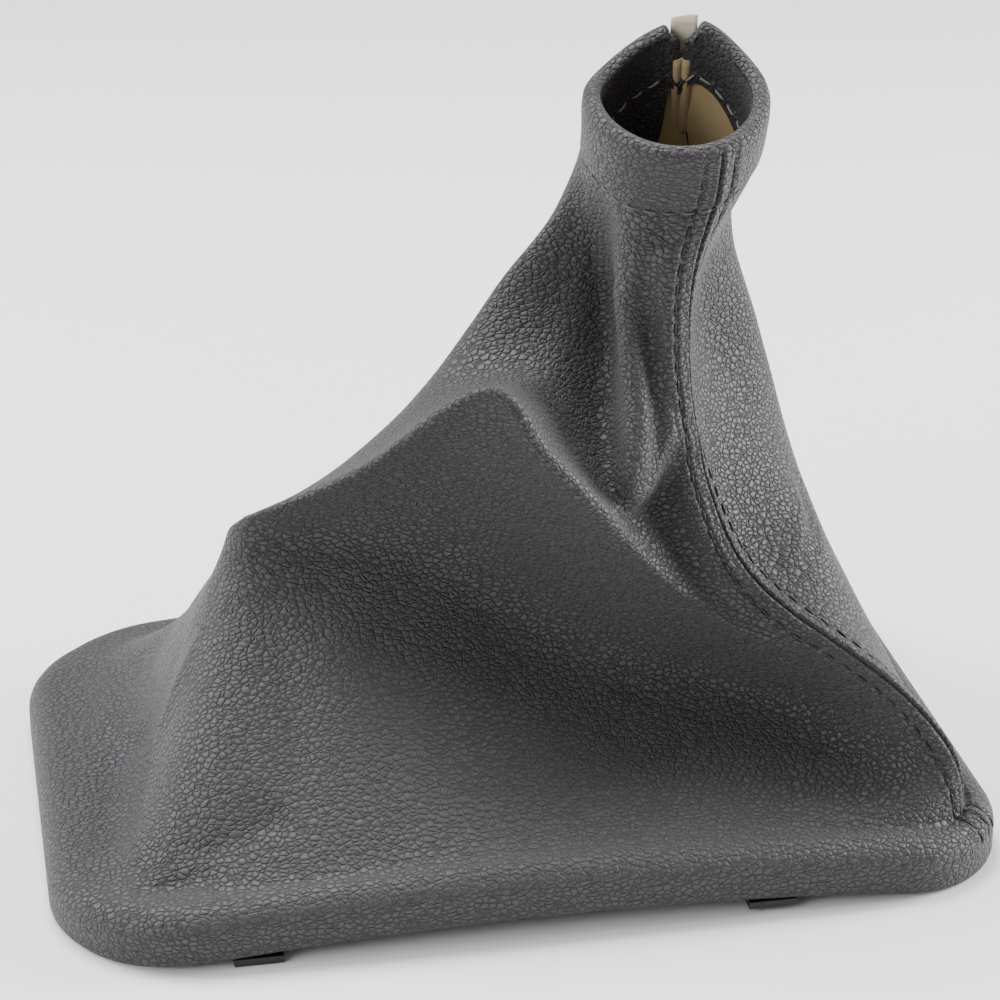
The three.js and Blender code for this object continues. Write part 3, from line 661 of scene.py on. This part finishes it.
class Panel:
    """One leather panel: its fine grids, and what the threads need to know of them."""

    def __init__(self, start, end, panel):
        self.place = places_between(start, end)
        wrap = wrap_rows(self.place)
        bare = np.concatenate([
            wrap[-RIM_ROWS:], spline_points(hood_controls(self.place, panel), hood_levels()),
        ])
        normals = grid_normals(bare)
        row = np.arange(len(bare))[:, None]
        climb = np.linalg.norm(np.diff(bare, axis=0), axis=2)
        below = np.concatenate([np.zeros((1, bare.shape[1])), np.cumsum(climb[::-1], axis=0)])[::-1]
        self.from_rim = below + ROLL_RADIUS
        self.seams = [from_curve(bare, bare[:, column], SEAM_REACH) for column in (0, -1)]
        round_step = np.linalg.norm(np.diff(bare[-1], axis=0), axis=1)
        round_rim = np.concatenate([[0], np.cumsum(round_step)])
        turn = turn_at(self.place)
        self.stitched = stitch_depth(turn)
        folds = slack_relief(bare) * smooth_step(self.from_rim, 0, SLACK_FADE)
        folds += crease_relief(bare, panel)
        if panel == SIDE:
            away = self.seams[1][0] / SEAM_DIP_WIDTH
            dip = SEAM_DIP * away * np.exp(1 - away)
            folds -= dip * smooth_step(self.from_rim, SEAM_DIP_FROM, SEAM_DIP_FULL)
        folds *= smooth_step(row, RIM_ROWS, RIM_ROWS + FOLD_FADE_ROWS)
        relief = folds + hem_relief(self.from_rim, round_rim, self.stitched)
        for away, along in self.seams:
            relief += seam_relief(away, along) * smooth_step(row, 0, SEAM_FADE_ROWS)
        self.hood = bare + relief[..., None] * normals
        self.flesh = (bare + (folds - LEATHER - GAP)[..., None] * normals)[RIM_ROWS:]
        self.normals = grid_normals(self.hood)
        # the hem's inside, from the roll down to its raw edge
        down = np.linspace(0, 1, INNER_HEM_ROWS)[:, None]
        self.hem_depth = down * (hem_reach(turn, panel) - ROLL_RADIUS) + ROLL_RADIUS
        behind = self.at_depth(bare, self.hem_depth)
        self.inwards = -unit(self.at_depth(normals, self.hem_depth))
        at_rim = smooth_step(self.hem_depth, HEM_STITCH, 0)
        thick = HEM_THICKNESS + (2 * ROLL_RADIUS - HEM_THICKNESS) * at_rim
        thick -= hem_relief(self.hem_depth, round_rim, self.stitched)
        self.inner_hem = behind + thick[..., None] * self.inwards
        raw_edge = behind[-1:] + (LEATHER + EDGE_LIFT) * self.inwards[-1:]
        self.roll = roll_rows(self.place, panel)
        self.grain = np.concatenate([
            wrap[:-RIM_ROWS], self.hood, self.roll, self.inner_hem, raw_edge,
        ])

    def at_depth(self, values, depth):
        """Values of the hood's grid at given depths below the rim in each column."""
        found = np.empty(depth.shape + (3,))
        for column in range(depth.shape[1]):
            known = self.from_rim[::-1, column]
            found[:, column] = along_line(depth[:, column], known, values[::-1, column])
        return found

    def slit_edge(self, column, out):
        """Vertices and faces that round off the hem's edge at the slit, from the stitching up to the rim."""
        depth = np.linspace(self.hem_depth[-1, column], ROLL_RADIUS, INNER_HEM_ROWS)[:, None]
        depth = np.broadcast_to(depth, (INNER_HEM_ROWS, self.hood.shape[1]))
        outer = self.at_depth(self.hood, depth)[:, column]
        inner = along_line(depth[:, column], self.hem_depth[:, column], self.inner_hem[:, column])
        outer = np.concatenate([outer, self.roll[: ROLL_STEPS // 2, column]])
        inner = np.concatenate([inner, self.roll[ROLL_STEPS // 2 - 1:-1, column][::-1]])
        half = (outer - inner) / 2
        radius = np.linalg.norm(half, axis=-1, keepdims=True)
        angles = np.linspace(0, np.pi, EDGE_STEPS)
        middle = (outer + inner) / 2
        grid = [middle + half * np.cos(t) + out * radius * np.sin(t) for t in angles]
        return np.reshape(grid, (-1, 3)), grid_faces(EDGE_STEPS, len(outer), flip=column == 0)


def make_object(name, vertices, faces, material):
    """A smooth-shaded object from vertices in millimetres."""
    mesh = bpy.data.meshes.new(name)
    mesh.from_pydata((np.asarray(vertices) * MM).tolist(), [], [list(map(int, f)) for f in faces])
    mesh.update()
    mesh.polygons.foreach_set("use_smooth", [True] * len(mesh.polygons))
    mesh.materials.append(material)
    obj = bpy.data.objects.new(name, mesh)
    bpy.context.scene.collection.objects.link(obj)
    return obj


def grid_faces(rows, columns, flip=False):
    """The faces between the vertices of a grid, row by row."""
    index = np.arange(rows * columns).reshape(rows, columns)
    corners = [index[:-1, :-1], index[1:, :-1], index[1:, 1:], index[:-1, 1:]]
    faces = np.stack(corners, -1).reshape(-1, 4)
    return faces[:, ::-1] if flip else faces


def new_material(name):
    material = bpy.data.materials.new(name)
    material.use_nodes = True
    tree = material.node_tree
    return material, tree, tree.nodes["Principled BSDF"]


def add_node(tree, kind, **inputs):
    """A new node with values for its inputs. An underscore stands for a space in an input's name."""
    node = tree.nodes.new(kind)
    for name, value in inputs.items():
        node.inputs[name.replace("_", " ")].default_value = value
    return node


def add_math(tree, kind, operation, factor=None):
    """A new math node, and what it multiplies its first input by."""
    node = tree.nodes.new(kind)
    node.operation = operation
    if factor is not None:
        node.inputs[1].default_value = factor
    return node


def add_blend(tree, dark, light):
    """A new node that mixes two colours."""
    node = tree.nodes.new("ShaderNodeMix")
    node.data_type = "RGBA"
    node.inputs["A"].default_value = (*dark, 1)
    node.inputs["B"].default_value = (*light, 1)
    return node


def add_texture(tree, kind, **inputs):
    """A new texture node that is fixed to the object."""
    place = tree.nodes.new("ShaderNodeTexCoord")
    node = add_node(tree, kind, **inputs)
    tree.links.new(place.outputs["Object"], node.inputs["Vector"])
    return node


def add_bumps(tree, shader, height, strength, depth):
    bumps = add_node(tree, "ShaderNodeBump", Strength=strength, Distance=depth * MM)
    tree.links.new(height, bumps.inputs["Height"])
    tree.links.new(bumps.outputs["Normal"], shader.inputs["Normal"])


def add_roughness(tree, shader, source, low, high):
    rough = add_node(tree, "ShaderNodeMapRange", To_Min=low, To_Max=high)
    tree.links.new(source, rough.inputs["Value"])
    tree.links.new(rough.outputs["Result"], shader.inputs["Roughness"])


def set_shader(shader, **inputs):
    for name, value in inputs.items():
        shader.inputs[name.replace("_", " ")].default_value = value


# Grain: rounded pebbles, longer across than up, parted by soft valleys, with finer skin on each
PEBBLE = 1.2
PEBBLE_SHAPE = (0.8, 0.95, 1.15)
PEBBLE_WARP = 0.8
WARP_LENGTH = 1.8
PEBBLE_DOME = 1.2
VALLEY_WIDTH = 0.2
GRAIN_DEPTH = 0.26
SKIN_DETAIL = 0.45
SKIN_HEIGHT = 0.35
CLOUD_SCALE = 22.0
LEATHER_DARK = (0.0315, 0.0274, 0.0315)
LEATHER_LIGHT = (0.0425, 0.037, 0.0425)
# painted shade: the dark colour laid into the grain's valleys
PAINTED_VALLEY_SHADE = (0.018, 0.0158, 0.018)
VALLEY_ROUGHNESS = 0.7
PEBBLE_ROUGHNESS = 0.54
LEATHER_SHEEN = 0.06


def leather_material():
    material, tree, shader = new_material("grain_leather")
    link = tree.links.new
    place = tree.nodes.new("ShaderNodeTexCoord")
    warp = add_texture(tree, "ShaderNodeTexNoise", Scale=1 / (WARP_LENGTH * MM), Detail=3.0)
    shift = add_math(tree, "ShaderNodeVectorMath", "MULTIPLY_ADD", (PEBBLE_WARP * PEBBLE * MM,) * 3)
    link(warp.outputs["Color"], shift.inputs[0])
    link(place.outputs["Object"], shift.inputs[2])
    longer = add_math(tree, "ShaderNodeVectorMath", "MULTIPLY", PEBBLE_SHAPE)
    link(shift.outputs["Vector"], longer.inputs[0])
    middles = add_node(tree, "ShaderNodeTexVoronoi", Scale=1 / (PEBBLE * MM))
    cells = add_node(tree, "ShaderNodeTexVoronoi", Scale=1 / (PEBBLE * MM))
    cells.feature = "DISTANCE_TO_EDGE"
    for node in (middles, cells):
        link(longer.outputs["Vector"], node.inputs["Vector"])
    # each pebble's height falls off with the square of the distance from its middle
    square = add_math(tree, "ShaderNodeMath", "MULTIPLY")
    link(middles.outputs["Distance"], square.inputs[0])
    link(middles.outputs["Distance"], square.inputs[1])
    valley = add_node(tree, "ShaderNodeMapRange", From_Max=VALLEY_WIDTH)
    valley.interpolation_type = "SMOOTHSTEP"
    link(cells.outputs["Distance"], valley.inputs["Value"])
    dome = add_math(tree, "ShaderNodeMath", "MULTIPLY_ADD", -PEBBLE_DOME)
    link(square.outputs["Value"], dome.inputs[0])
    link(valley.outputs["Result"], dome.inputs[2])
    skin = add_texture(tree, "ShaderNodeTexNoise", Scale=1 / (SKIN_DETAIL * MM), Detail=3.0)
    height = add_math(tree, "ShaderNodeMath", "MULTIPLY_ADD", SKIN_HEIGHT)
    link(skin.outputs["Fac"], height.inputs[0])
    link(dome.outputs["Value"], height.inputs[2])
    add_bumps(tree, shader, height.outputs["Value"], 1.0, GRAIN_DEPTH)
    # colour: slow cloudy variation, and painted shade that darkens the valleys between the pebbles
    cloud = add_texture(tree, "ShaderNodeTexNoise", Scale=CLOUD_SCALE, Detail=4.0)
    tone = add_blend(tree, LEATHER_DARK, LEATHER_LIGHT)
    link(cloud.outputs["Fac"], tone.inputs["Factor"])
    deep = add_blend(tree, PAINTED_VALLEY_SHADE, LEATHER_LIGHT)
    link(valley.outputs["Result"], deep.inputs["Factor"])
    link(tone.outputs["Result"], deep.inputs["B"])
    link(deep.outputs["Result"], shader.inputs["Base Color"])
    add_roughness(tree, shader, valley.outputs["Result"], VALLEY_ROUGHNESS, PEBBLE_ROUGHNESS)
    set_shader(shader, Sheen_Weight=LEATHER_SHEEN, Sheen_Roughness=0.5)
    return material


# Suede: a fine nap, in tones that vary slowly
NAP_SCALE = 900.0
NAP_DEPTH = 0.3
SUEDE_CLOUD_SCALE = 70.0
TAN_DARK, TAN_LIGHT = (0.26, 0.18, 0.08), (0.5, 0.38, 0.19)
CREAM_DARK, CREAM_LIGHT = (0.62, 0.55, 0.4), (0.72, 0.66, 0.52)


def suede_material(name, dark, light):
    material, tree, shader = new_material(name)
    nap = add_texture(tree, "ShaderNodeTexNoise", Scale=NAP_SCALE, Detail=5.0)
    cloud = add_texture(tree, "ShaderNodeTexNoise", Scale=SUEDE_CLOUD_SCALE, Detail=3.0)
    tone = add_blend(tree, dark, light)
    tree.links.new(cloud.outputs["Fac"], tone.inputs["Factor"])
    tree.links.new(tone.outputs["Result"], shader.inputs["Base Color"])
    add_bumps(tree, shader, nap.outputs["Fac"], 0.5, NAP_DEPTH)
    set_shader(shader, Roughness=0.95, Sheen_Weight=0.5)
    return material


# Plastic: black, with a fine moulded skin
MOULD_SKIN_SCALE = 1800.0
MOULD_SKIN_DEPTH = 0.1
PLASTIC_COLOUR = (0.012, 0.012, 0.013)


def plastic_material():
    material, tree, shader = new_material("frame_plastic")
    skin = add_texture(tree, "ShaderNodeTexNoise", Scale=MOULD_SKIN_SCALE, Detail=2.0)
    add_bumps(tree, shader, skin.outputs["Fac"], 0.3, MOULD_SKIN_DEPTH)
    add_roughness(tree, shader, skin.outputs["Fac"], 0.42, 0.58)
    set_shader(shader, Base_Color=(*PLASTIC_COLOUR, 1))
    return material


# Thread: twisted yarn
TWIST_SCALE = 900.0
TWIST_DEPTH = 0.1
DARK_THREAD = (0.012, 0.012, 0.013)
GREY_THREAD = (0.07, 0.068, 0.07)
PALE_THREAD = (0.25, 0.245, 0.24)


def thread_material(name, colour):
    material, tree, shader = new_material(name)
    twist = add_texture(tree, "ShaderNodeTexWave", Scale=TWIST_SCALE, Distortion=1.0)
    add_bumps(tree, shader, twist.outputs["Fac"], 0.6, TWIST_DEPTH)
    set_shader(shader, Base_Color=(*colour, 1), Roughness=0.55)
    return material


THREAD_RADIUS = 0.26
THREAD_SIDES = 6
THREAD_RINGS = 7

# How high a stitch stands at its middle, how far it dips at its ends and how much thinner it is there
THREAD_LIFT = 0.9
THREAD_DIP = 2.4
THREAD_TAPER = 0.6


def stitches(name, points, normals, material):
    """A row of stitches along points on the leather. Each dips into the leather at both ends."""
    step = np.linalg.norm(np.diff(points, axis=0), axis=1)
    along = np.concatenate([[0], np.cumsum(step)])
    half_pitch = STITCH_PITCH / 2
    middles = np.arange(STITCH_PITCH, along[-1] - half_pitch, STITCH_PITCH) - half_pitch
    share = np.linspace(-1, 1, THREAD_RINGS)
    round_angle = np.linspace(0, 2 * np.pi, THREAD_SIDES, endpoint=False)
    vertices, faces = [], []
    for middle in middles:
        at = middle + share * STITCH_LENGTH / 2
        centre = along_line(at, along, points)
        out = unit(along_line(at, along, normals))
        forward = unit(np.gradient(centre, axis=0))
        across = unit(np.cross(out, forward))
        centre = centre + out * (THREAD_RADIUS * (THREAD_LIFT - THREAD_DIP * share**4))[:, None]
        thick = (THREAD_RADIUS * np.sqrt(1 - THREAD_TAPER * share**6))[:, None, None]
        rings = (
            centre[:, None]
            + np.cos(round_angle)[None, :, None] * across[:, None] * thick
            + np.sin(round_angle)[None, :, None] * out[:, None] * thick
        )
        first = len(vertices) * THREAD_RINGS * THREAD_SIDES
        vertices.append(rings.reshape(-1, 3))
        index = first + np.arange(THREAD_RINGS * THREAD_SIDES).reshape(THREAD_RINGS, THREAD_SIDES)
        beside = np.roll(index, -1, axis=1)
        sides = np.stack([index[:-1], beside[:-1], beside[1:], index[1:]], -1)
        faces += sides.reshape(-1, 4).tolist() + [index[0, ::-1].tolist(), index[-1].tolist()]
    return make_object(name, np.concatenate(vertices), faces, material)


def beside_seam(panel, end):
    """Points and normals along the stitching of the seam at a panel's first or last column."""
    away = panel.seams[end][0]
    columns = np.arange(away.shape[1])
    if end == 1:
        columns = columns[::-1]
    points, normals = [], []
    for row in range(len(away)):
        distances = away[row, columns]
        past = int(np.argmax(distances > STITCH_LINE))
        a, b = columns[past - 1], columns[past]
        share = (STITCH_LINE - distances[past - 1]) / (distances[past] - distances[past - 1])
        points.append(panel.hood[row, a] * (1 - share) + panel.hood[row, b] * share)
        normals.append(panel.normals[row, a] * (1 - share) + panel.normals[row, b] * share)
    return np.array(points), np.array(normals)


def along_hem(panel, inside):
    """Points and normals along the hem's stitching, outside or inside the collar."""
    depth = np.broadcast_to(panel.stitched, (1, len(panel.stitched)))
    if not inside:
        return panel.at_depth(panel.hood, depth)[0], panel.at_depth(panel.normals, depth)[0]
    points, normals = [], []
    for column, stitched in enumerate(panel.stitched):
        known = panel.hem_depth[:, column]
        points.append(along_line(stitched, known, panel.inner_hem[:, column]))
        normals.append(along_line(stitched, known, panel.inwards[:, column]))
    return np.array(points), np.array(normals)


# What shows through the slit: a pale tab behind it and the ends of the seam's two allowances
TAB_WIDTH = 6
TAB_BOTTOM = 13
TAB_TOP = 0.2
TAB_THICKNESS = 0.8
ALLOWANCE_WIDTH = 2.4
ALLOWANCE_TOP = 8
ALLOWANCE_BOTTOM = 26
ALLOWANCE_CURL = 0.8
STRIP_COLUMNS = 7
TAB_ROWS = 8
ALLOWANCE_ROWS = 12


def curved_strip(turns, drops, radii):
    """Rows of points down a strip that follows the collar. Each row runs round both its faces."""
    rows = []
    for drop in drops:
        outer, inner = [], []
        for turn, radius in zip(turns, radii):
            outer.append(collar_oval(np.array([turn]), radius, drop)[0])
            inner.append(collar_oval(np.array([turn]), radius - TAB_THICKNESS, drop)[0])
        rows.append(outer + inner[::-1] + outer[:1])
    return np.array(rows)


def slit_tab():
    half = np.degrees(TAB_WIDTH / 2 / COLLAR_RADIUS)
    turns = SLIT_TURN + np.linspace(-half, half, STRIP_COLUMNS)
    drops = np.linspace(TAB_TOP, TAB_BOTTOM, TAB_ROWS)
    return curved_strip(turns, drops, np.full(STRIP_COLUMNS, COLLAR_RADIUS + TAB_THICKNESS))


def slit_allowance(panel):
    """One of the seam's allowances, a strip that curls in next to the seam."""
    share = np.linspace(0, 1, STRIP_COLUMNS)
    turns = SLIT_TURN + panel * share * np.degrees(ALLOWANCE_WIDTH / COLLAR_RADIUS)
    drops = np.linspace(ALLOWANCE_TOP, ALLOWANCE_BOTTOM, ALLOWANCE_ROWS)
    radii = COLLAR_RADIUS - LEATHER - 2 * GAP - ALLOWANCE_CURL * np.sin(np.pi * share)
    return curved_strip(turns, drops, radii)


def merge(parts):
    """The vertices and faces of several parts as one mesh."""
    vertices, faces, first = [], [], 0
    for points, quads in parts:
        vertices.append(np.asarray(points).reshape(-1, 3))
        faces.append(np.asarray(quads) + first)
        first += len(vertices[-1])
    return np.concatenate(vertices), np.concatenate(faces)


# Camera and studio, in metres, degrees and watts
CAMERA_TARGET = (0.0017, 0, 0.067)
CAMERA_AZIMUTH = -10.9
CAMERA_ELEVATION = 24.3
CAMERA_DISTANCE = 0.65
CAMERA_LENS = 109.5
CAMERA_SENSOR = 36
CAMERA_NEAREST = 0.01
FLOOR_REACH_MM = 6000
FLOOR_TONE = 0.86
SKY_STRENGTH = 0.42
LIGHT_SIZE = 0.5
LIGHT_TARGET = (0, 0, 0.08)
LIGHTS = [
    ("left_back", (-0.75, 0.35, 0.6), 10),
    ("right", (0.95, 0.05, 0.4), 20),
    ("overhead", (-0.1, 0.35, 1.1), 19),
    ("front_left", (-0.8, -0.55, 0.5), 6),
]


def add_camera():
    """The camera, in front of the gaiter, a little to its left and above it."""
    camera = bpy.data.cameras.new("camera")
    camera.sensor_width = CAMERA_SENSOR
    camera.lens = CAMERA_LENS
    camera.clip_start = CAMERA_NEAREST
    obj = bpy.data.objects.new("camera", camera)
    azimuth, elevation = np.radians(CAMERA_AZIMUTH), np.radians(CAMERA_ELEVATION)
    back = Vector((
        np.sin(azimuth) * np.cos(elevation),
        -np.cos(azimuth) * np.cos(elevation),
        np.sin(elevation),
    ))
    obj.location = Vector(CAMERA_TARGET) + back * CAMERA_DISTANCE
    obj.rotation_mode = "QUATERNION"
    obj.rotation_quaternion = (-back).to_track_quat("-Z", "Y")
    bpy.context.scene.collection.objects.link(obj)
    bpy.context.scene.camera = obj


def add_floor():
    material, tree, shader = new_material("floor")
    set_shader(shader, Base_Color=(FLOOR_TONE, FLOOR_TONE, FLOOR_TONE, 1), Roughness=0.9)
    corners = [(-1, -1, 0), (1, -1, 0), (1, 1, 0), (-1, 1, 0)]
    floor = make_object("floor", np.array(corners) * FLOOR_REACH_MM, [(0, 1, 2, 3)], material)


def add_lights():
    """An even sky, and soft lights aimed at the middle of the gaiter."""
    world = bpy.data.worlds.new("world")
    world.use_nodes = True
    bpy.context.scene.world = world
    background = world.node_tree.nodes["Background"]
    background.inputs["Color"].default_value = (1, 1, 1, 1)
    background.inputs["Strength"].default_value = SKY_STRENGTH
    for name, place, power in LIGHTS:
        light = bpy.data.lights.new(name, "AREA")
        light.size = LIGHT_SIZE
        light.energy = power
        obj = bpy.data.objects.new(name, light)
        obj.location = place
        obj.rotation_euler = (Vector(LIGHT_TARGET) - Vector(place)).to_track_quat("-Z", "Y").to_euler()
        bpy.context.scene.collection.objects.link(obj)


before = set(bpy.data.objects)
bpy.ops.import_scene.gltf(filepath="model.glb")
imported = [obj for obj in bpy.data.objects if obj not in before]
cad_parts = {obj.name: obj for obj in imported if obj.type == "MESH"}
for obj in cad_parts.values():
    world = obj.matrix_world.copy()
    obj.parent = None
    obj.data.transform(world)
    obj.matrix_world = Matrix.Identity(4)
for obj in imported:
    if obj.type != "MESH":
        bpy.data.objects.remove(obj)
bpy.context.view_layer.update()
add_camera()
add_floor()
add_lights()

leather = leather_material()
suede = suede_material("suede", TAN_DARK, TAN_LIGHT)
cream = suede_material("cream_suede", CREAM_DARK, CREAM_LIGHT)
dark_thread = thread_material("dark_thread", DARK_THREAD)
grey_thread = thread_material("grey_thread", GREY_THREAD)
pale_thread = thread_material("pale_thread", PALE_THREAD)

main = Panel(0, BACK_SEAM, MAIN)
side = Panel(BACK_SEAM, len(STATIONS), SIDE)

# Each panel's grain side and flesh side, with the size it was cut to in metres and its flat area
across = across_slit()
for name, panel, slit_end, lip_out, cut, area in (
    ("main_panel", main, -1, across, (0.5, 0.22), 0.066),
    ("side_panel", side, 0, -across, (0.15, 0.23), 0.018),
):
    vertices, faces = merge([
        (panel.grain, grid_faces(*panel.grain.shape[:2])),
        panel.slit_edge(slit_end, lip_out),
    ])
    grain = make_object(name + "_grain", vertices, faces, leather)
    flesh_faces = grid_faces(*panel.flesh.shape[:2], flip=True)
    flesh = make_object(name + "_flesh", panel.flesh.reshape(-1, 3), flesh_faces, suede)
    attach(grain, "root")
    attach(flesh, "root")
    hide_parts(name)

for name, strip, material in (
    ("slit_tab", slit_tab(), cream),
    ("slit_allowance_main", slit_allowance(MAIN), suede),
    ("slit_allowance_side", slit_allowance(SIDE), suede),
):
    rows, columns = strip.shape[:2]
    faces = grid_faces(rows, columns).tolist()
    top_end = np.arange(columns - 1)
    bottom_end = top_end[::-1] + (rows - 1) * columns
    faces += [top_end.tolist(), bottom_end.tolist()]
    piece = make_object(name, strip.reshape(-1, 3), faces, material)
    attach(piece, "root")

threads = []
for name, panel, end in (
    ("front_seam_left", main, 0),
    ("front_seam_right", side, 1),
    ("back_seam_left", main, 1),
    ("back_seam_right", side, 0),
):
    threads.append(stitches(name + "_stitches", *beside_seam(panel, end), dark_thread))
for name, panel in (("main", main), ("side", side)):
    for inside, where, material in (
        (False, "outside", grey_thread),
        (True, "inside", pale_thread),
    ):
        threads.append(stitches(f"{name}_hem_stitches_{where}", *along_hem(panel, inside), material))
for thread in threads:
    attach(thread, "root")

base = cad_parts["base_frame"]
base.data.materials.clear()
base.data.materials.append(plastic_material())
